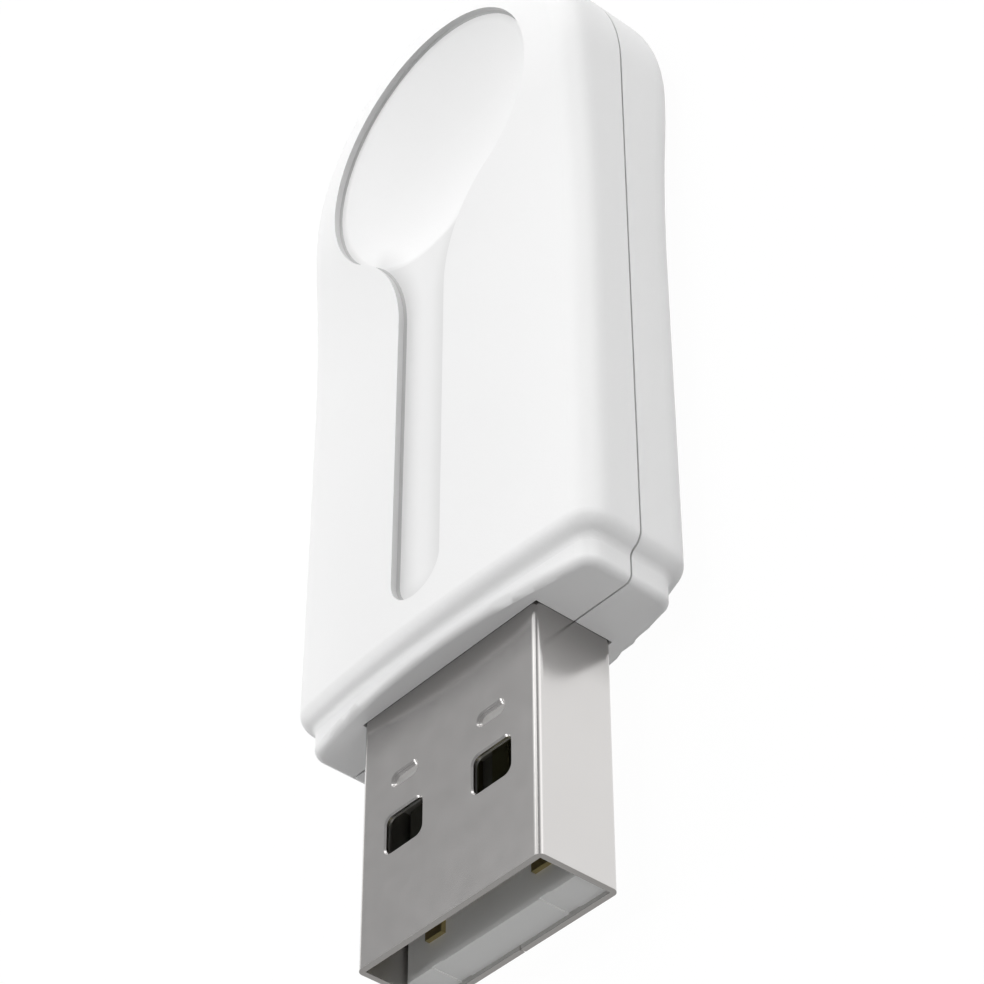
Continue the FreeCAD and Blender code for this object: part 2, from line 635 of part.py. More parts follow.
def flatten_back(body):
    """The long flat along the rear, widest on the dome, that the receiver lies on."""
    below = sketch_on(body, "below_the_back", "XY", "-back_low")
    rectangle(below, "-(body_half + 1)", "body_half + 1", "plug_reach - 1", "overall_length + 1")
    pocket(body, below, "rear_swell")


# The covers' insides

def draw_band(drawing, inner, outer, start, middle):
    """A band of even width along both sides and round the far end."""
    a, b, y0, y1 = size(inner), size(outer), size(start), size(middle)
    corners = [(a, y1), (a, y0), (b, y0), (b, y1)]
    right = [Vector(x, y, 0) for x, y in corners]
    left = [Vector(-x, y, 0) for x, y in reversed(corners)]
    for k in range(3):
        drawing.addGeometry(Part.LineSegment(right[k], right[k + 1]), False)
    drawing.addGeometry(arc_about(Vector(0, y1, 0), b, 0, 180), False)
    for k in range(3):
        drawing.addGeometry(Part.LineSegment(left[k], left[k + 1]), False)
    drawing.addGeometry(arc_about(Vector(0, y1, 0), a, 0, 180), False)
    for k in range(6):
        drawing.addConstraint(Sketcher.Constraint("Coincident", k, 2, k + 1, 1))
    drawing.addConstraint(Sketcher.Constraint("Coincident", 6, 2, 7, 2))
    drawing.addConstraint(Sketcher.Constraint("Coincident", 7, 1, 0, 1))
    pin_point(drawing, 0, 1, inner, middle)
    pin_point(drawing, 0, 2, inner, start)
    pin_point(drawing, 2, 1, outer, start)
    pin_point(drawing, 2, 2, outer, middle)
    pin_point(drawing, 4, 1, f"-({outer})", middle)
    pin_point(drawing, 4, 2, f"-({outer})", start)
    pin_point(drawing, 6, 1, f"-({inner})", start)
    pin_point(drawing, 6, 2, f"-({inner})", middle)
    pin_point(drawing, 3, 3, None, middle)
    pin_point(drawing, 7, 3, None, middle)


def side_pair(drawing, inner, outer, low, high):
    """Two rectangles that mirror each other across the middle."""
    rectangle(drawing, inner, outer, low, high)
    rectangle(drawing, f"-({outer})", f"-({inner})", low, high)


def hollow_out(body, face, sign, ceiling):
    """The room inside a cover and the opening that holds the plug."""
    upwards = sign == ""
    height = size(ceiling)

    def on_ceiling(point, edge):
        inside = abs(point.x) < size("inner_half") + 0.01 and point.y < size("end_middle + inner_half") + 0.01
        return inside and abs(abs(point.z) - height) < 0.001 and edge.BoundBox.ZLength < 0.001

    room = sketch_on(body, face + "_room", "XY", f"{sign}seam_half")
    stadium(room, "inner_half", "inner_start", "end_middle")
    pocket(body, room, f"{ceiling} - seam_half", backwards=upwards)
    dress(body, "Chamfer", face + "_room_bevel", "inner_bevel", on_ceiling)
    if upwards:
        raise_ceiling(body)
    opening = sketch_on(body, face + "_plug_opening", "XY", f"{sign}seam_half")
    half = "plug_width / 2 + plug_clearance"
    rectangle(opening, f"-({half})", half, "plug_reach - 1", "tail_end + board_gap")
    pocket(body, opening, "plug_height / 2 + plug_clearance - seam_half", backwards=upwards)


def raise_ceiling(body):
    """The front cover's ceiling is higher under the slot than under the deeper dish."""
    raised = sketch_on(body, "raised_ceiling", "XY", "seam_half")
    side = "inner_half - inner_bevel - 0.1"
    rectangle(raised, f"-({side})", side, "inner_start + inner_bevel + 0.1", "end_middle - dish_radius - 1.5")
    pocket(body, raised, "ceiling_front - seam_half", backwards=True)
    height = size("ceiling_front")

    def on_ceiling(point, edge):
        inside = abs(point.x) < size(side) + 0.01 and edge.BoundBox.ZLength < 0.001
        return inside and abs(point.z - height) < 0.001

    dress(body, "Chamfer", "raised_ceiling_bevel", "ceiling_bevel", on_ceiling)


def add_lip(body):
    """The front cover's locating lip with its four snap catches."""
    lip = sketch_on(body, "lip", "XY", "seam_half")
    draw_band(lip, "inner_half", "inner_half + lip_thickness", "inner_start + 0.5", "end_middle")
    pad(body, lip, "seam_gap + lip_height", backwards=True)
    catches = sketch_on(body, "catches", "XY", "-(seam_half + catch_height)")
    face = "inner_half + lip_thickness"
    for middle in ("near_catch", "far_catch"):
        low, high = f"{middle} - catch_length / 2", f"{middle} + catch_length / 2"
        side_pair(catches, f"{face} - 0.1", f"{face} + catch_reach", low, high)
    pad(body, catches, "catch_height", backwards=True)


def cut_rebate(body):
    """The rear cover's rebate for that lip, with a groove behind each catch."""
    rebate = sketch_on(body, "rebate", "XY", "-seam_half")
    face = "inner_half + lip_thickness + lip_clearance"
    draw_band(rebate, "inner_half - 0.2", face, "inner_start + 0.5 - lip_clearance", "end_middle")
    pocket(body, rebate, "lip_height")
    grooves = sketch_on(body, "catch_grooves", "XY", "-(seam_half + catch_height - lip_clearance)")
    for middle in ("near_catch", "far_catch"):
        reach = "catch_length / 2 + lip_clearance"
        side_pair(grooves, f"{face} - 0.1", f"{face} + catch_reach", f"{middle} - ({reach})", f"{middle} + {reach}")
    pocket(body, grooves, "catch_height + 2 * lip_clearance")


def add_ribs(body, face, sign, seat, ceiling):
    """Ribs that hold the board's edges, four in each cover."""
    ribs = sketch_on(body, face + "_ribs", "XY", seat)
    for middle in ("near_rib", "far_rib"):
        low, high = f"{middle} - rib_length / 2", f"{middle} + rib_length / 2"
        side_pair(ribs, "rib_side - rib_thickness / 2", "rib_side + rib_thickness / 2", low, high)
    pad(body, ribs, f"{ceiling} + 0.2 - ({sign}1) * ({seat})", backwards=sign == "-")


def add_pins(body):
    """Bosses that carry the board and the pins that locate it."""
    places = [("near_pin_side", "near_pin"), ("-near_pin_side", "near_pin"), ("0", "far_pin")]
    bosses = sketch_on(body, "bosses", "XY", "-(floor_rear + 0.2)")
    pins = sketch_on(body, "pins", "XY", "board_back - 0.2")
    for x, y in places:
        circle(bosses, x, y, "boss_radius")
        circle(pins, x, y, "pin_radius")
    pad(body, bosses, "floor_rear + 0.2 + board_back")
    pad(body, pins, "board_thickness + 0.2 + pin_above")


# The thumb recess

def draw_recess_outline(drawing):
    """The slot's round end, its sides, the necks on either side and the round dish."""
    w, dish, neck = size("slot_half_width"), size("dish_radius"), size("neck_radius")
    slot_middle, dish_middle = Vector(0, size("slot_at"), 0), Vector(0, size("end_middle"), 0)
    drop = math.sqrt((dish + neck) ** 2 - (w + neck) ** 2)
    neck_y = dish_middle.y - drop
    lean = math.degrees(math.atan2(drop, w + neck))
    right_neck, left_neck = Vector(w + neck, neck_y, 0), Vector(-w - neck, neck_y, 0)
    drawing.addGeometry(arc_about(slot_middle, w, 180, 360), False)
    drawing.addGeometry(Part.LineSegment(Vector(w, slot_middle.y, 0), Vector(w, neck_y, 0)), False)
    drawing.addGeometry(arc_about(right_neck, neck, 180 - lean, 180), False)
    drawing.addGeometry(arc_about(dish_middle, dish, -lean, 180 + lean), False)
    drawing.addGeometry(arc_about(left_neck, neck, 0, lean), False)
    drawing.addGeometry(Part.LineSegment(Vector(-w, neck_y, 0), Vector(-w, slot_middle.y, 0)), False)
    joins = [(0, 2, 1, 1), (1, 2, 2, 2), (2, 1, 3, 1), (3, 2, 4, 2), (4, 1, 5, 1), (5, 2, 0, 1)]
    for piece, end, after, start in joins:
        drawing.addConstraint(Sketcher.Constraint("Tangent", piece, end, after, start))
    drawing.addConstraint(Sketcher.Constraint("Vertical", 1))
    drawing.addConstraint(Sketcher.Constraint("Vertical", 5))
    pin_point(drawing, 0, 3, "0", "slot_at")
    pin_point(drawing, 3, 3, "0", "end_middle")
    radii = [(0, "slot_half_width"), (2, "neck_radius"), (3, "dish_radius"), (4, "neck_radius")]
    for piece, formula in radii:
        fix_radius(drawing, piece, formula)


def recess_floor():
    """Everything under the recess's floor: the front sunk by the wall's height, with the dish's hollow."""
    sunk = new_body("sunk_front")
    sweep_length(sunk, "front", "", "recess_depth")
    turn_round_end(sunk, "front", "", "recess_depth")
    ball = doc.addObject("Part::Sphere", "dish_ball")
    bind(ball, "Radius", "dish_hollow")
    ball.Placement.Rotation = FreeCAD.Rotation(Vector(0, 1, 0), FULL_TURN / 4)
    bind(ball, "Placement.Base.y", "end_middle")
    bind(ball, "Placement.Base.z", "front_swell - recess_depth - crown_radius"
         " + sqrt(crown_radius ^ 2 - dish_rim ^ 2) + sqrt(dish_hollow ^ 2 - dish_rim ^ 2)")
    dished = doc.addObject("Part::Cut", "dished_front")
    dished.Base, dished.Tool = sunk, ball
    doc.recompute()

    def on_rim(point, edge):
        from_middle = math.hypot(point.x, point.y - size("end_middle"))
        return abs(from_middle - size("dish_rim")) < 0.1 and point.z > 1

    return dress_part("Part::Fillet", "recess_floor", dished, "ridge_round", on_rim)


def on_recess_wall(point):
    """Whether a point lies on the upright wall round the recess."""
    w, dish, neck = size("slot_half_width"), size("dish_radius"), size("neck_radius")
    across, along = abs(point.x), point.y - size("end_middle")
    neck_along = -math.sqrt((dish + neck) ** 2 - (w + neck) ** 2)
    misses = [
        math.hypot(across, along) - dish,
        math.hypot(across - w - neck, along - neck_along) - neck,
        math.hypot(across, point.y - size("slot_at")) - w,
        across - w,
    ]
    return min(abs(miss) for miss in misses) < 0.001


def recess_form():
    """The solid that the thumb recess takes out of the front cover."""
    column = new_body("recess_column")
    outline = sketch_on(column, "recess_outline", "XY", "ceiling_dish")
    draw_recess_outline(outline)
    pad(column, outline, "front_swell + 1 - ceiling_dish")
    sharp = doc.addObject("Part::Cut", "recess_sharp")
    sharp.Base, sharp.Tool = column, recess_floor()
    doc.recompute()

    def on_foot(point, edge):
        level = edge.BoundBox.DiagonalLength > 1.01 * edge.BoundBox.ZLength
        return level and point.z < size("front_swell") and on_recess_wall(point)

    return dress_part("Part::Chamfer", "recess_form", sharp, "recess_bevel", on_foot)


def front_cover():
    form = cover_form("front", "")
    hollow_out(form, "front", "", "ceiling_dish")
    add_lip(form)
    add_ribs(form, "front", "", "board_top", "ceiling_front")
    cover = doc.addObject("Part::Cut", "front_cover")
    cover.Base, cover.Tool = form, recess_form()
    cover.Label = "front_cover"
    place(cover)
    return cover


def rear_cover():
    form = cover_form("rear", "-")
    flatten_back(form)
    hollow_out(form, "rear", "-", "floor_rear")
    cut_rebate(form)
    add_ribs(form, "rear", "-", "board_back", "floor_rear")
    add_pins(form)
    form.Label = "rear_cover"
    place(form)
    return form


# The plug

def shell_of_plug():
    """The folded steel shell: tube, windows, pressed dimples, fold seam and solder ears."""
    shell = new_body("plug_shell")
    section = sketch_on(shell, "shell_section", "XZ")
    rounded_rectangle(section, "-plug_width / 2", "plug_width / 2", "-plug_height / 2", "plug_height / 2", "plug_bend")
    inner_width, inner_height = "plug_width / 2 - plug_wall", "plug_height / 2 - plug_wall"
    rectangle(section, f"-({inner_width})", inner_width, f"-({inner_height})", inner_height)
    pad(shell, section, "tail_end", backwards=True)

    windows = sketch_on(shell, "windows", "XY")
    for sign in ("-", ""):
        left = f"{sign}window_pitch / 2 - window_width / 2"
        low = "window_from_mouth - window_length / 2"
        rounded_rectangle(windows, left, f"{left} + window_width", low, f"{low} + window_length", "window_corner")
    pocket(shell, windows, "plug_height + 2", both_ways=True)

    add_dimples(shell)
    bevel_punched_edges(shell)
    seam = sketch_on(shell, "fold_seam", "XY", "-(plug_height / 2 - plug_wall / 2)")
    rectangle(seam, "-fold_gap / 2", "fold_gap / 2", "-1", "tail_end + 1")
    pocket(shell, seam, "plug_wall + 1", both_ways=True)

    ears = sketch_on(shell, "solder_ears", "XY", "board_top")
    side_pair(ears, "plug_width / 2 - plug_wall / 2", "plug_width / 2 + ear_reach", "ear_start", "ear_start + ear_length")
    pad(shell, ears, "plug_wall")
    place(shell)
    return shell


def add_dimples(shell):
    """Two dimples pressed in from the front, hollow outside and proud inside."""
    bumps = sketch_on(shell, "dimple_bumps", "XY", "plug_height / 2 - plug_wall")
    hollows = sketch_on(shell, "dimples", "XY", "plug_height / 2")
    for drawing in (bumps, hollows):
        for sign in ("-", ""):
            left = f"{sign}dimple_pitch / 2 - dimple_width / 2"
            low = "dimple_from_mouth - dimple_length / 2"
            rounded_rectangle(drawing, left, f"{left} + dimple_width", low, f"{low} + dimple_length",
                              "dimple_length * 0.45")
    pad(shell, bumps, "dimple_depth", backwards=True)
    pocket(shell, hollows, "dimple_depth")
    bottom = size("plug_height / 2 - dimple_depth")

    def on_floor(point, edge):
        near = abs(point.y - size("dimple_from_mouth")) < size("dimple_length") and abs(point.x) > size("dimple_width")
        return near and abs(point.z - bottom) < 0.001

    dress(shell, "Chamfer", "dimple_floors", "dimple_bevel", on_floor)


def bevel_punched_edges(shell):
    """Bevel the front edges of the windows and the dimples."""
    front = size("plug_height / 2")
    half_face = size("plug_width / 2 - plug_bend")
    last = size("dimple_from_mouth + dimple_length")

    def on_punched_edge(point, edge):
        inside = abs(point.x) < half_face - 0.01 and 0.01 < point.y < last
        return inside and abs(point.z - front) < 0.001

    dress(shell, "Chamfer", "punched_edges", "punch_bevel", on_punched_edge)


def carrier_of_contacts():
    """The moulded insulator: a tongue on the shell's rear wall and a block that fills the tail."""
    carrier = new_body("contact_carrier")
    inside = "plug_height / 2 - plug_wall"
    tongue = sketch_on(carrier, "tongue", "XY", f"-({inside})")
    rectangle(tongue, "-tongue_width / 2", "tongue_width / 2", "tongue_setback", "cavity_depth + 1")
    pad(carrier, tongue, f"tongue_front + {inside}")
    block = sketch_on(carrier, "carrier_block", "XY")
    half = "plug_width / 2 - plug_wall"
    rectangle(block, f"-({half})", half, "cavity_depth", "tail_end")
    pad(carrier, block, f"2 * ({inside})", both_ways=True)

    channels = sketch_on(carrier, "contact_channels", "XY", "tongue_front + contact_thickness")
    for middle in CONTACT_MIDDLES.values():
        rectangle(channels, f"{middle} - contact_width / 2", f"{middle} + contact_width / 2",
                  "cavity_depth - 0.5", "tail_end + 1")
    pocket(carrier, channels, "contact_thickness")

    grooves = sketch_on(carrier, "tip_grooves", "XZ", "-tongue_setback")
    inner = "(outer_contact_pitch - tip_groove_width) / 2"
    side_pair(grooves, inner, f"{inner} + tip_groove_width", f"-({inside})", "tongue_front")
    pocket(carrier, grooves, "tip_groove_depth")
    place(carrier)
    return carrier


CONTACT_MIDDLES = {
    "contact_power": "outer_contact_pitch / 2",
    "contact_data_minus": "inner_contact_pitch / 2",
    "contact_data_plus": "-inner_contact_pitch / 2",
    "contact_ground": "-outer_contact_pitch / 2",
}


def contact(name, start):
    """One contact: a flat strip along the tongue, a step down behind the plug and a soldered foot."""
    strip = new_body(name)
    profile = sketch_on(strip, name + "_profile", "YZ", CONTACT_MIDDLES[name])
    top = "tongue_front + contact_thickness"
    foot_start = "tail_end + board_gap + 0.35"
    foot_top = "board_top + contact_thickness"
    polygon(profile, [
        (start, "tongue_front"),
        ("tail_end + 0.05", "tongue_front"),
        (foot_start, "board_top"),
        (f"{foot_start} + contact_foot", "board_top"),
        (f"{foot_start} + contact_foot", foot_top),
        (f"{foot_start} + 0.12", foot_top),
        ("tail_end + 0.2", top),
        (start, top),
    ])
    pad(strip, profile, "contact_width", both_ways=True)
    place(strip)
    return strip


# The circuit board and its parts

def board():
    """The board, notched for the plug's tail, with three locating holes."""
    card = new_body("circuit_board")
    outline = sketch_on(card, "board_outline", "XY", "board_back")
    stadium(outline, "board_width / 2", "board_start", "end_middle")
    pad(card, outline, "board_thickness")
    notch = sketch_on(card, "plug_notch", "XY", "board_top")
    half = "plug_width / 2 + board_gap"
    rectangle(notch, f"-({half})", half, "board_start - 1", "tail_end + board_gap")
    pocket(card, notch, "board_thickness + 1")
    holes = sketch_on(card, "pin_holes", "XY", "board_top")
    for x, y in (("near_pin_side", "near_pin"), ("-near_pin_side", "near_pin"), ("0", "far_pin")):
        circle(holes, x, y, "pin_radius + pin_clearance")
    pocket(card, holes, "board_thickness + 1")
    place(card)
    return card


def square_chip(name, y):
    """A flat square package with a bevelled corner and a round mark beside it."""
    chip = new_body(name)
    outline = sketch_on(chip, name + "_outline", "XY")
    half = "chip_side / 2"
    polygon(outline, [
        (f"-{half}", f"-{half}"),
        (half, f"-{half}"),
        (half, half),
        (f"-{half} + chip_bevel", half),
        (f"-{half}", f"{half} - chip_bevel"),
    ])
    pad(chip, outline, "chip_height")
    mark = sketch_on(chip, name + "_mark", "XY", "chip_height")
    spot = f"{half} - chip_bevel - chip_mark - 0.2"
    circle(mark, f"-({spot})", spot, "chip_mark")
    pocket(chip, mark, "chip_height / 10")
    place(chip, "0", y, "board_top")
    return chip


def slab(name, across, along, height, x="0", y="0", base="0"):
    """A plain block centred over a point."""
    piece = doc.addObject("Part::Box", name)
    bind(piece, "Length", across)
    bind(piece, "Width", along)
    bind(piece, "Height", height)
    bind(piece, "Placement.Base.x", f"({x}) - ({across}) / 2")
    bind(piece, "Placement.Base.y", f"({y}) - ({along}) / 2")
    bind(piece, "Placement.Base.z", base)
    return piece


def fuse(name, pieces):
    whole = doc.addObject("Part::MultiFuse", name)
    whole.Shapes = pieces
    whole.Label = name
    return whole


def gull_lead(name, side, across, y):
    """One lead out of a package's side: a shoulder, a drop and a foot on the board."""
    edge = f"{across} / 2"
    drop = "lead_reach / 3"
    middle = "(package_lift + package_height) / 2"
    shoulder = slab(name + "_shoulder", f"{drop} + lead_thickness + 0.2", "lead_width", "lead_thickness",
                    f"{side} * ({edge} + ({drop} + lead_thickness - 0.2) / 2)", y, f"{middle} - lead_thickness / 2")
    upright = slab(name + "_drop", "lead_thickness", "lead_width", f"{middle} + lead_thickness / 2",
                   f"{side} * ({edge} + {drop} + lead_thickness / 2)", y)
    foot = slab(name + "_foot", f"lead_reach - {drop}", "lead_width", "lead_thickness",
                f"{side} * ({edge} + (lead_reach + {drop}) / 2)", y)
    return [shoulder, upright, foot]


def leaded_package(name, across, along, pitch, left, right):
    """A moulded package with rows of leads on two sides."""
    pieces = [slab(name + "_body", across, along, "package_height - package_lift", base="package_lift")]
    for side, count in ((-1, left), (1, right)):
        for k in range(count):
            y = f"{2 * k - count + 1} * {pitch} / 2" if count != 1 else "0"
            pieces += gull_lead(f"{name}_lead_{side + 1}_{k}", side, across, y)
    return fuse(name, pieces)


def crystal():
    """A metal can with a rim round its lid."""
    can = new_body("clock_crystal")
    base = sketch_on(can, "crystal_base", "XY")
    wide, long = "crystal_width / 2", "crystal_length / 2"
    rounded_rectangle(base, f"-{wide}", wide, f"-{long}", long, "crystal_corner")
    pad(can, base, "crystal_height * 0.6")
    lid = sketch_on(can, "crystal_lid", "XY")
    wide, long = f"({wide} - crystal_rim)", f"({long} - crystal_rim)"
    rounded_rectangle(lid, f"-{wide}", wide, f"-{long}", long, "crystal_corner - crystal_rim / 2")
    pad(can, lid, "crystal_height")
    place(can, "-crystal_side", "crystal_at", "board_top")
    return can


def chip_part(name, length, width, height, x="0", y="0"):
    """A small block with an end cap at either side."""
    proud = "2 * cap_proud"
    middle = slab(name + "_block", f"{length} - {proud}", f"{width} - {proud}", f"{height} - {proud}",
                  x, y, "cap_proud")
    pieces = [middle]
    for side in (-1, 1):
        at = f"({x}) + {side} * ({length} - cap_length) / 2"
        pieces.append(slab(f"{name}_cap_{side + 1}", "cap_length", width, height, at, y))
    return fuse(name, pieces)


def group_of_chip_parts(name, length, width, height, places):
    """Equal chip parts at several spots of the board, as one piece of the list."""
    members = []
    for number, (x, y) in enumerate(places, 1):
        members.append(chip_part(f"{name}_{number}", length, width, height, x, y))
    group = doc.addObject("Part::Compound", name)
    group.Links = members
    group.Label = name
    place(group, "0", "0", "board_top")
    return group


def parts_on_board():
    """Everything soldered to the board's front."""
    memory = leaded_package("memory_chip", "memory_width", "memory_length", "lead_pitch", 4, 4)
    place(memory, "memory_side", "radio_at", "board_top")
    regulator = leaded_package("voltage_regulator", "small_width", "small_length", "small_lead_pitch", 2, 1)
    place(regulator, "-regulator_side", "regulator_at", "board_top")
    surge = leaded_package("surge_protector", "small_width", "small_length", "small_lead_pitch", 3, 3)
    place(surge, "0", "surge_at", "board_top")
    antenna = chip_part("chip_antenna", "antenna_width", "antenna_length", "antenna_height")
    place(antenna, "0", "antenna_at", "board_top")
    bulk = chip_part("bulk_capacitor", "bulk_width", "bulk_length", "bulk_height")
    place(bulk, "bulk_side", "bulk_at", "board_top")
    capacitors = group_of_chip_parts(
        "decoupling_capacitors", "chip_part_length", "chip_part_width", "chip_part_width",
        [("-4.3", "bridge_at + 0.4"), ("-4.3", "bridge_at + 1.8"), ("4.3", "bridge_at + 1.6"),
         ("-1.6", "radio_at - 3.4"), ("1.6", "radio_at - 3.4"), ("4.1", "radio_at - 3.4"),
         ("-5.6", "radio_at - 3.4"), ("-5.6", "radio_at - 2"), ("4.6", "radio_at + 2.6")])
    resistors = group_of_chip_parts(
        "series_resistors", "resistor_length", "resistor_width", "resistor_height",
        [("2.7", "surge_at - 0.6"), ("-2.7", "surge_at - 0.6"), ("2.7", "surge_at + 0.6"), ("-2.7", "surge_at + 0.6")])
    inductors = group_of_chip_parts(
        "matching_inductors", "chip_part_length", "chip_part_width", "chip_part_width",
        [("0", "radio_at + 4.2"), ("0", "radio_at + 5.8"), ("2.6", "far_pin"), ("1.6", "antenna_at - 2.4")])
    return [
        square_chip("radio_chip", "radio_at"), square_chip("bridge_chip", "bridge_at"), memory, crystal(),
        regulator, surge, antenna, bulk, capacitors, resistors, inductors,
    ]


# Making and writing the pieces

def main():
    pieces = [front_cover(), rear_cover(), shell_of_plug(), carrier_of_contacts()]
    for name in CONTACT_MIDDLES:
        outer = "outer" in CONTACT_MIDDLES[name]
        pieces.append(contact(name, "outer_contact_start" if outer else "inner_contact_start"))
    pieces.append(board())
    pieces += parts_on_board()
    doc.recompute()
    for thing in doc.Objects:
        if "Invalid" in thing.State or "Error" in thing.State:
            raise RuntimeError(f"{thing.Name} can't be built: {thing.getStatusString()}")
    for piece in pieces:
        if piece.Shape.isNull() or not piece.Shape.isValid():
            raise RuntimeError(f"{piece.Label} has no sound shape")
    os.makedirs("parts", exist_ok=True)
    for piece in pieces:
        piece.Shape.exportStep(f"parts/{piece.Label}.step")


main()
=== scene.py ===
import bpy
from mathutils import Matrix, Vector


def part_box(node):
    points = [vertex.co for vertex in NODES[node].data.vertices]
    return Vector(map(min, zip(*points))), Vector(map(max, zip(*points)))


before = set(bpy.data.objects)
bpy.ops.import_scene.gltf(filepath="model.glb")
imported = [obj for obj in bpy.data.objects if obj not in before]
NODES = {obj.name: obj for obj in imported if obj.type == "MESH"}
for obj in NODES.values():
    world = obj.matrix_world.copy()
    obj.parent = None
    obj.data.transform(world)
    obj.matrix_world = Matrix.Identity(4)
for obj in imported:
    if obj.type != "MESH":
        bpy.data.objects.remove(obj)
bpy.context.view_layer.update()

MM = 0.001


# Places on the object that its finishes follow

PLUG_LOW, PLUG_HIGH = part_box("plug_shell")
MOUTH = PLUG_LOW[1]
PLUG_MIDDLE = (PLUG_LOW[2] + PLUG_HIGH[2]) / 2
PLUG_HALF_WIDTH = 6.0 * MM
PLUG_HALF_HEIGHT = 2.25 * MM
SHEET = 0.3 * MM
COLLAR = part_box("front_cover")[0][1]
HOUSING_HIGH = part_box("front_cover")[1]
ROUND_END_MIDDLE = HOUSING_HIGH[1] - HOUSING_HIGH[0]
SLOT_START = -10.795 * MM
SLOT_HALF = 1.72 * MM
SLOT_FLOOR_LIMIT = HOUSING_HIGH[2] - 0.3 * MM
NECK_X = 9.92 * MM
NECK_Y = 6.077 * MM
NECK_RADIUS = 8.2 * MM
RECESS_REACH = 8.1 * MM

# Places that differ in tone from the rest of their piece, some by painted shade and some by a
# finish of their own, where each fade is the value at which the change begins and the value at
# which it is complete

# Painted shade on the slot's floor beside its walls
SLOT_SIDE_PAINTED_SHADE = (0.78, 0.78, 0.78)
SLOT_SIDE_FADE = (0.9 * SLOT_HALF, 0.0)
SLOT_START_FADE = (SLOT_START, SLOT_START + 10 * MM)
SLOT_DEPTH_FADE = (SLOT_FLOOR_LIMIT + 0.05 * MM, SLOT_FLOOR_LIMIT)
SLOT_WIDTH_FADE = (4.8 * MM, 3.6 * MM)
SLOT_WALL_FADE = (-0.1 * MM, -0.05 * MM)
RECESS_WIDTH_FADE = (RECESS_REACH, RECESS_REACH - 0.1 * MM)
RECESS_LENGTH_FADE = (SLOT_START - 1.2 * SLOT_HALF, SLOT_START - 1.1 * SLOT_HALF)
# Painted shade on the recess's walls, darkest at their feet
WALL_FOOT_PAINTED_SHADE = (0.43, 0.43, 0.43)
WALL_FOOT_FADE = (0.96, 0.87)
WALL_PAINTED_SHADE = (0.57, 0.57, 0.57)
WALL_FADE = (0.5, 0.2)
STEEL_INSIDE_TONE = (0.56, 0.55, 0.54)
STEEL_INSIDE_ROUGHNESS = 0.4
STEEL_INSIDE_FADE = (-0.55 * SHEET, -0.75 * SHEET)
# Painted shade on the steel beside the housing, in place of the housing's dark reflection
STEEL_PAINTED_SHADE_TONE = (0.37, 0.36, 0.355)
STEEL_PAINTED_SHADE_FADE = (COLLAR - 3.2 * MM, COLLAR)
STEEL_SHEARED_TONE = (0.30, 0.29, 0.28)
STEEL_SHEARED_ROUGHNESS = 0.5
STEEL_SHEARED_FADE = (MOUTH + 0.03 * MM, MOUTH + 0.005 * MM)
# Painted shade on the contacts and the insulator deep inside the plug's mouth
CONTACT_PAINTED_SHADE = (0.30, 0.29, 0.18)
CONTACT_FADE = (MOUTH + 2.5 * MM, MOUTH + 4.5 * MM)
INSULATOR_PAINTED_SHADE = (0.25, 0.25, 0.22)
INSULATOR_FADE = (MOUTH + 3.2 * MM, MOUTH + 5.0 * MM)

# Light in the room, with each lamp's direction from the object and its power in watts

FLOOR_REACH = 4.0
FLOOR_TONE = (0.32, 0.32, 0.32)
FLOOR_ROUGHNESS = 0.8
FLOOR_GLOW = 1.08
FLOOR_GLOW_SHARE = 0.9
LIGHT_FROM_RIGHT = 3.2
LIGHT_FROM_FAR_SIDE = 3.15
LIGHT_LOWNESS = 3.0
LIGHT_ALL_ROUND = 0.1
LIGHT_LIMIT = 10.0
MIRRORED_LEAST = 0.29
MIRRORED_LIMIT = 1.4
OBJECT_MIDDLE = Vector((0, 0, 5 * MM))
LAMP_DISTANCE = 0.6
LAMP_SIZE = 0.4
LAMPS = {
    "top_lamp": ((0.0, 0.0, 1.0), 1.56),
    "left_lamp": ((-1.0, -0.1, 0.7), 1.14),
    "far_lamp": ((0.0, 1.0, 0.8), 0.63),
    "key_lamp": ((-0.5, 0.5, 1.0), 0.23),
}

# The camera, with its focal length in pixels of the picture

CAMERA_PLACE = Vector((86.620, -104.336, 79.275)) * MM
CAMERA_RIGHT = Vector((0.655010, -0.001740, -0.755618))
CAMERA_DOWN = Vector((-0.499238, -0.751644, -0.431036))
CAMERA_AHEAD = Vector((-0.567206, 0.659566, -0.493204))
FOCAL_LENGTH = 3192.07
PICTURE_WIDTH = 984.0
SENSOR_WIDTH = 36.0
NEAREST_SEEN = 5 * MM


# Values in a node tree

def join(tree, operation, a, b):
    """One value from two, each a number or the output of a node."""
    both = tree.nodes.new("ShaderNodeMath")
    both.operation = operation
    for source, socket in ((a, both.inputs[0]), (b, both.inputs[1])):
        if isinstance(source, float):
            socket.default_value = source
        else:
            tree.links.new(source, socket)
    return both.outputs[0]


def plus(tree, a, b):
    return join(tree, "ADD", a, b)


def minus(tree, a, b):
    return join(tree, "SUBTRACT", a, b)


def times(tree, a, b):
    return join(tree, "MULTIPLY", a, b)


def larger(tree, a, b):
    return join(tree, "MAXIMUM", a, b)


def smaller(tree, a, b):
    return join(tree, "MINIMUM", a, b)


def apart(tree, value, middle):
    """Distance of a value from a middle one."""
    return join(tree, "ABSOLUTE", minus(tree, value, middle), 0.0)


def from_line(tree, across, beyond):
    """Distance from a line that ends, by the distance across it and the distance beyond its end."""
    beyond = larger(tree, beyond, 0.0)
    squares = plus(tree, times(tree, across, across), times(tree, beyond, beyond))
    return join(tree, "SQRT", squares, 0.0)


def spread(tree, value, low, high):
    """A value from 0 to 1, mapped to a range."""
    ramp = tree.nodes.new("ShaderNodeMapRange")
    ramp.inputs["To Min"].default_value = low
    ramp.inputs["To Max"].default_value = high
    tree.links.new(value, ramp.inputs["Value"])
    return ramp.outputs["Result"]


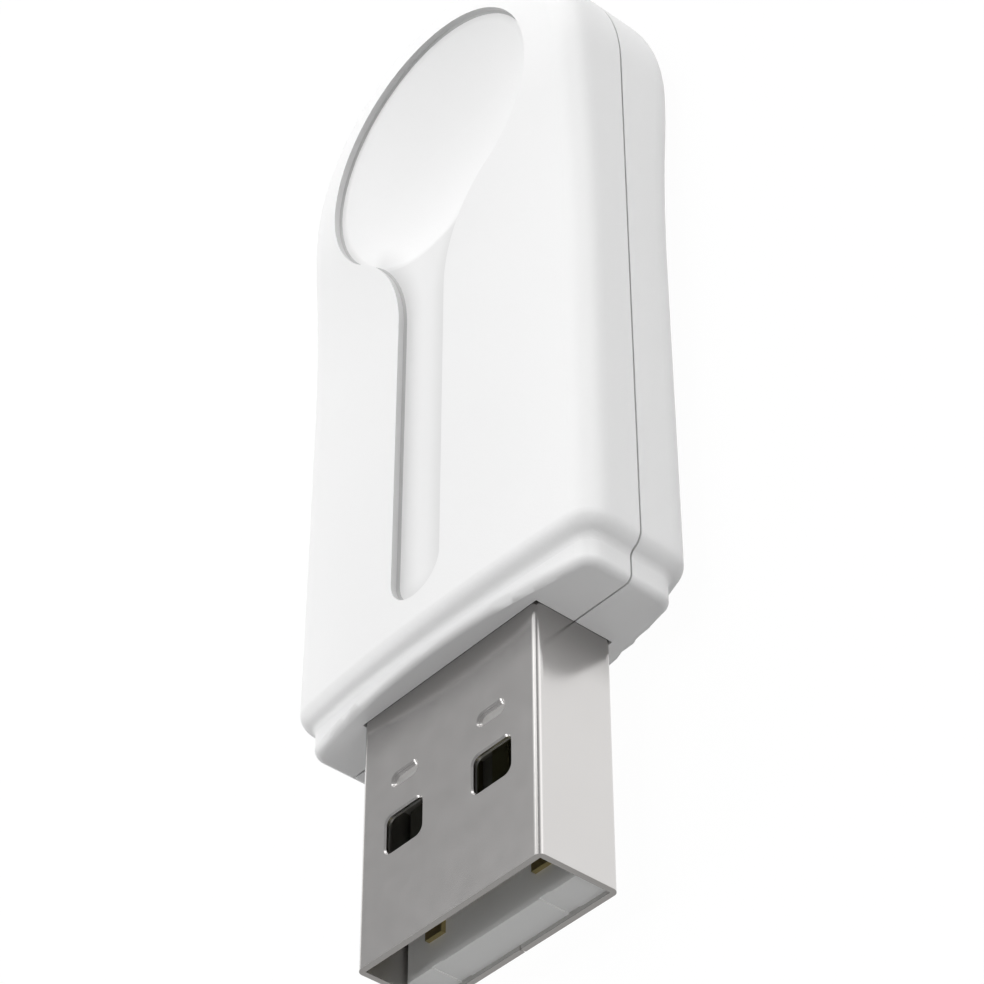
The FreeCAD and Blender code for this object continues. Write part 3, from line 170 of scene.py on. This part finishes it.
def fade(tree, value, change):
    """0 before the change begins, 1 once it is complete, and smooth between."""
    start, end = change
    ramp = tree.nodes.new("ShaderNodeMapRange")
    ramp.interpolation_type = "SMOOTHSTEP"
    ramp.inputs["From Min"].default_value = start
    ramp.inputs["From Max"].default_value = end
    tree.links.new(value, ramp.inputs["Value"])
    return ramp.outputs["Result"]


def coordinates(tree, kind):
    """The three parts of a texture coordinate, such as the place on the object or its normal."""
    place = tree.nodes.new("ShaderNodeTexCoord")
    parts = tree.nodes.new("ShaderNodeSeparateXYZ")
    tree.links.new(place.outputs[kind], parts.inputs[0])
    return parts.outputs["X"], parts.outputs["Y"], parts.outputs["Z"]


def noise(tree, scale, detail):
    """A noise in the object's own coordinates, scale in repeats per metre."""
    place = tree.nodes.new("ShaderNodeTexCoord")
    texture = tree.nodes.new("ShaderNodeTexNoise")
    texture.inputs["Scale"].default_value = scale
    texture.inputs["Detail"].default_value = detail
    tree.links.new(place.outputs["Object"], texture.inputs["Vector"])
    return texture.outputs["Fac"]


def seen_by(tree, kinds):
    """1 for the kinds of ray that are named, 0 for others."""
    rays = tree.nodes.new("ShaderNodeLightPath")
    seen = rays.outputs[kinds[0]]
    for kind in kinds[1:]:
        seen = larger(tree, seen, rays.outputs[kind])
    return seen


# Finishes

def new_material(name):
    """An empty material, its node tree and its shader."""
    material = bpy.data.materials.new(name)
    material.use_nodes = True
    tree = material.node_tree
    return material, tree, tree.nodes["Principled BSDF"]


def textured(name, dark, light, roughness, clouds, patches, gloss, grain, relief):
    """A finish with clouds between two tones, patches in its gloss and a fine grain.

    Clouds, patches and grain are each the scale and detail of a noise. Gloss is how far
    the roughness falls and rises, and relief is the grain's height in metres.
    """
    material, tree, shader = new_material(name)
    tone = tree.nodes.new("ShaderNodeMix")
    tone.data_type = "RGBA"
    tone.inputs["A"].default_value = (*dark, 1)
    tone.inputs["B"].default_value = (*light, 1)
    tree.links.new(noise(tree, *clouds), tone.inputs["Factor"])
    tree.links.new(tone.outputs["Result"], shader.inputs["Base Color"])
    smoother, rougher = gloss
    matt = spread(tree, noise(tree, *patches), roughness + smoother, roughness + rougher)
    tree.links.new(matt, shader.inputs["Roughness"])
    bump = tree.nodes.new("ShaderNodeBump")
    bump.inputs["Distance"].default_value = relief
    tree.links.new(noise(tree, *grain), bump.inputs["Height"])
    tree.links.new(bump.outputs["Normal"], shader.inputs["Normal"])
    return material


def moulded(name, dark, light, roughness):
    """Moulded plastic: a faint cloudiness in the tone and a fine matt grain."""
    return textured(name, dark, light, roughness, clouds=(90, 2), patches=(400, 3),
                    gloss=(-0.05, 0.05), grain=(9000, 2), relief=4e-6)


def metal(name, dark, light, roughness, relief=2e-7):
    """Plated sheet: near even tone, patchy gloss and the faint waviness of pressed sheet."""
    material = textured(name, dark, light, roughness, clouds=(250, 3), patches=(900, 4),
                        gloss=(-0.03, 0.04), grain=(2500, 3), relief=relief)
    material.node_tree.nodes["Principled BSDF"].inputs["Metallic"].default_value = 1.0
    return material


def shade_towards(tree, amount, tone):
    """Blend what feeds the base colour towards a tone by an amount from 0 to 1."""
    colour = tree.nodes["Principled BSDF"].inputs["Base Color"]
    blend = tree.nodes.new("ShaderNodeMix")
    blend.data_type = "RGBA"
    blend.inputs["B"].default_value = (*tone, 1)
    tree.links.new(amount, blend.inputs["Factor"])
    tree.links.new(colour.links[0].from_socket, blend.inputs["A"])
    tree.links.new(blend.outputs["Result"], colour)


def roughen_towards(tree, amount, value):
    """Blend what feeds the roughness towards a value by an amount from 0 to 1."""
    roughness = tree.nodes["Principled BSDF"].inputs["Roughness"]
    blend = tree.nodes.new("ShaderNodeMix")
    blend.inputs["B"].default_value = value
    tree.links.new(amount, blend.inputs["Factor"])
    tree.links.new(roughness.links[0].from_socket, blend.inputs["A"])
    tree.links.new(blend.outputs["Result"], roughness)


def plug_steel(name, dark, light, roughness):
    """Plated sheet that is duller inside and at its sheared end, with painted shade beside the
    housing in place of the housing's dark reflection.
    """
    material = metal(name, dark, light, roughness, relief=3e-8)
    tree = material.node_tree
    x, y, z = coordinates(tree, "Object")
    off_sides = minus(tree, apart(tree, x, 0.0), PLUG_HALF_WIDTH)
    off_faces = minus(tree, apart(tree, z, PLUG_MIDDLE), PLUG_HALF_HEIGHT)
    inside = fade(tree, larger(tree, off_sides, off_faces), STEEL_INSIDE_FADE)
    shade_towards(tree, inside, STEEL_INSIDE_TONE)
    roughen_towards(tree, inside, STEEL_INSIDE_ROUGHNESS)
    # Painted shade beside the housing, in place of the housing's dark reflection
    shade_towards(tree, fade(tree, y, STEEL_PAINTED_SHADE_FADE), STEEL_PAINTED_SHADE_TONE)
    sheared = fade(tree, y, STEEL_SHEARED_FADE)
    shade_towards(tree, sheared, STEEL_SHEARED_TONE)
    roughen_towards(tree, sheared, STEEL_SHEARED_ROUGHNESS)
    return material


def paint_shade_inwards(material, change, tone):
    """Paint shade into a finish, falling to a dark tone inside the plug's mouth."""
    tree = material.node_tree
    along = coordinates(tree, "Object")[1]
    shade_towards(tree, fade(tree, along, change), tone)


def off_slot_wall(tree, x, y):
    """Distance from the slot's walls to a place on its floor, less than 0 outside them.

    The round start counts only near itself: past it, its distance grows out of the way
    of the distance from the sides, which bend away at the necks.
    """
    from_start = from_line(tree, x, minus(tree, SLOT_START, y))
    past_start = fade(tree, y, SLOT_START_FADE)
    off_start = plus(tree, past_start, minus(tree, SLOT_HALF, from_start))
    from_neck_x = minus(tree, apart(tree, x, 0.0), NECK_X)
    from_neck = from_line(tree, from_neck_x, minus(tree, y, NECK_Y))
    off_side = minus(tree, from_neck, NECK_RADIUS)
    return smaller(tree, off_start, off_side)


def painted_shade_beside_slot_wall(tree, x, y, z):
    """Where painted shade goes on the slot's floor: 1 against its walls, falling to 0 by its
    middle, and 0 elsewhere.
    """
    off_wall = off_slot_wall(tree, x, y)
    beside = fade(tree, off_wall, SLOT_SIDE_FADE)
    on_floor = fade(tree, z, SLOT_DEPTH_FADE)
    near_middle = fade(tree, apart(tree, x, 0.0), SLOT_WIDTH_FADE)
    within_walls = fade(tree, off_wall, SLOT_WALL_FADE)
    for limit in (on_floor, near_middle, within_walls):
        beside = times(tree, beside, limit)
    return beside


def over_recess(tree, x, y):
    """1 over the recess and the ground close round it, 0 farther out."""
    from_middle = from_line(tree, x, minus(tree, y, ROUND_END_MIDDLE))
    in_width = fade(tree, from_middle, RECESS_WIDTH_FADE)
    in_length = fade(tree, y, RECESS_LENGTH_FADE)
    return times(tree, in_width, in_length)


def front_plastic(name, dark, light, roughness):
    """White moulding with painted shade, greyer on the recess's walls and on the slot's floor
    beside them.
    """
    material = moulded(name, dark, light, roughness)
    tree = material.node_tree
    x, y, z = coordinates(tree, "Object")
    facing_up = coordinates(tree, "Normal")[2]
    # Painted shade on the slot's floor beside its walls
    shade_towards(tree, painted_shade_beside_slot_wall(tree, x, y, z), SLOT_SIDE_PAINTED_SHADE)
    within = over_recess(tree, x, y)
    # Painted shade on the recess's walls, darkest at their feet
    for change, tone in ((WALL_FOOT_FADE, WALL_FOOT_PAINTED_SHADE), (WALL_FADE, WALL_PAINTED_SHADE)):
        wall = fade(tree, facing_up, change)
        shade_towards(tree, times(tree, within, wall), tone)
    return material


# Each finish has a name, a darker and a lighter tone, and a roughness

FRONT_WHITE = front_plastic("housing_white", (0.90, 0.90, 0.90), (0.92, 0.92, 0.92), 0.38)
REAR_WHITE = moulded("rear_white", (0.90, 0.90, 0.90), (0.92, 0.92, 0.92), 0.38)
STEEL = plug_steel("plated_steel", (0.66, 0.645, 0.635), (0.69, 0.675, 0.665), 0.2)
GOLD = metal("contact_gold", (0.55, 0.46, 0.22), (0.63, 0.54, 0.28), 0.28)
# Painted shade on the contacts deep inside the plug's mouth
paint_shade_inwards(GOLD, CONTACT_FADE, CONTACT_PAINTED_SHADE)
INSULATOR = moulded("insulator_plastic", (0.86, 0.86, 0.85), (0.90, 0.90, 0.89), 0.45)
# Painted shade on the insulator deep inside the plug's mouth
paint_shade_inwards(INSULATOR, INSULATOR_FADE, INSULATOR_PAINTED_SHADE)
BOARD = moulded("board_green", (0.02, 0.16, 0.06), (0.03, 0.20, 0.08), 0.35)
PACKAGE = moulded("package_black", (0.02, 0.02, 0.022), (0.035, 0.035, 0.038), 0.55)
CAN = metal("crystal_can", (0.70, 0.70, 0.68), (0.75, 0.75, 0.73), 0.3)
CERAMIC = moulded("antenna_ceramic", (0.80, 0.79, 0.75), (0.85, 0.84, 0.80), 0.6)
TANTALUM = moulded("bulk_moulding", (0.70, 0.50, 0.14), (0.76, 0.56, 0.18), 0.5)
CAPACITOR = moulded("capacitor_ceramic", (0.42, 0.33, 0.22), (0.50, 0.40, 0.28), 0.5)
RESISTOR = moulded("resistor_body", (0.03, 0.03, 0.035), (0.05, 0.05, 0.055), 0.4)
INDUCTOR = moulded("inductor_body", (0.28, 0.31, 0.33), (0.34, 0.37, 0.39), 0.5)

FINISHES = {
    "front_cover": FRONT_WHITE,
    "rear_cover": REAR_WHITE,
    "plug_shell": STEEL,
    "contact_carrier": INSULATOR,
    "contact_power": GOLD,
    "contact_data_minus": GOLD,
    "contact_data_plus": GOLD,
    "contact_ground": GOLD,
    "circuit_board": BOARD,
    "radio_chip": PACKAGE,
    "bridge_chip": PACKAGE,
    "memory_chip": PACKAGE,
    "voltage_regulator": PACKAGE,
    "surge_protector": PACKAGE,
    "clock_crystal": CAN,
    "chip_antenna": CERAMIC,
    "bulk_capacitor": TANTALUM,
    "decoupling_capacitors": CAPACITOR,
    "series_resistors": RESISTOR,
    "matching_inductors": INDUCTOR,
}


def finish_nodes():
    """Give every piece its finish."""
    for name, material in FINISHES.items():
        for slot in NODES[name].material_slots:
            slot.material = material


# The room

def floor_white():
    """White to the eye and in reflections, and a plain pale ground for all other light."""
    material, tree, shader = new_material("floor_white")
    shader.inputs["Base Color"].default_value = (*FLOOR_TONE, 1)
    shader.inputs["Roughness"].default_value = FLOOR_ROUGHNESS
    glow = tree.nodes.new("ShaderNodeEmission")
    glow.inputs["Strength"].default_value = FLOOR_GLOW
    seen = seen_by(tree, ("Is Camera Ray", "Is Glossy Ray", "Is Transmission Ray"))
    mix = tree.nodes.new("ShaderNodeMixShader")
    tree.links.new(times(tree, seen, FLOOR_GLOW_SHARE), mix.inputs[0])
    tree.links.new(shader.outputs[0], mix.inputs[1])
    tree.links.new(glow.outputs[0], mix.inputs[2])
    tree.links.new(mix.outputs[0], tree.nodes["Material Output"].inputs["Surface"])
    return material


def add_floor():
    """A wide flat floor that keeps the object's soft shadow."""
    mesh = bpy.data.meshes.new("floor")
    corners = [(side_x * FLOOR_REACH, side_y * FLOOR_REACH, 0)
               for side_x, side_y in ((-1, -1), (1, -1), (1, 1), (-1, 1))]
    mesh.from_pydata(corners, [], [(0, 1, 2, 3)])
    mesh.materials.append(floor_white())
    floor = bpy.data.objects.new("floor", mesh)
    bpy.context.collection.objects.link(floor)


def add_world():
    """Faint light from all round, and broad soft light low down from the right and the far side.

    It is white to the eye. Mirrored, it stays between two limits, so that steel looks
    neither black nor white.
    """
    world = bpy.data.worlds.new("studio")
    world.use_nodes = True
    tree = world.node_tree
    x, y, z = coordinates(tree, "Generated")
    right = times(tree, larger(tree, x, 0.0), LIGHT_FROM_RIGHT)
    beyond = times(tree, larger(tree, y, 0.0), LIGHT_FROM_FAR_SIDE)
    low = join(tree, "POWER", minus(tree, 1.0, z), LIGHT_LOWNESS)
    light = plus(tree, times(tree, plus(tree, right, beyond), low), LIGHT_ALL_ROUND)
    mirrored = seen_by(tree, ("Is Glossy Ray",))
    light = smaller(tree, light, spread(tree, mirrored, LIGHT_LIMIT, MIRRORED_LIMIT))
    light = larger(tree, light, times(tree, mirrored, MIRRORED_LEAST))
    light = larger(tree, light, seen_by(tree, ("Is Camera Ray", "Is Transmission Ray")))
    background = tree.nodes["Background"]
    background.inputs["Color"].default_value = (1, 1, 1, 1)
    tree.links.new(light, background.inputs["Strength"])
    bpy.context.scene.world = world


def add_lamp(name, direction, power):
    """A square lamp in a direction from the object, turned to face it."""
    lamp = bpy.data.lights.new(name, "AREA")
    lamp.size = LAMP_SIZE
    lamp.energy = power
    holder = bpy.data.objects.new(name, lamp)
    away = Vector(direction).normalized()
    holder.location = OBJECT_MIDDLE + away * LAMP_DISTANCE
    holder.rotation_euler = away.to_track_quat("Z", "Y").to_euler()
    bpy.context.collection.objects.link(holder)
    return holder


def add_lamps():
    """The lamps, with the overhead one kept out of the steel, which would mirror it white."""
    lamps = {name: add_lamp(name, direction, power) for name, (direction, power) in LAMPS.items()}
    lamps["top_lamp"].visible_glossy = False


def add_camera():
    """The photograph's own viewpoint, fitted to the plug's edges."""
    lens = bpy.data.cameras.new("camera")
    lens.sensor_fit = "HORIZONTAL"
    lens.sensor_width = SENSOR_WIDTH
    lens.lens = FOCAL_LENGTH * SENSOR_WIDTH / PICTURE_WIDTH
    lens.clip_start = NEAREST_SEEN
    camera = bpy.data.objects.new("camera", lens)
    turn = Matrix((CAMERA_RIGHT, -CAMERA_DOWN, -CAMERA_AHEAD)).transposed()
    camera.matrix_world = Matrix.Translation(CAMERA_PLACE) @ turn.to_4x4()
    bpy.context.collection.objects.link(camera)
    bpy.context.scene.camera = camera


finish_nodes()
add_floor()
add_world()
add_lamps()
add_camera()
bpy.context.scene.view_settings.view_transform = "Standard"
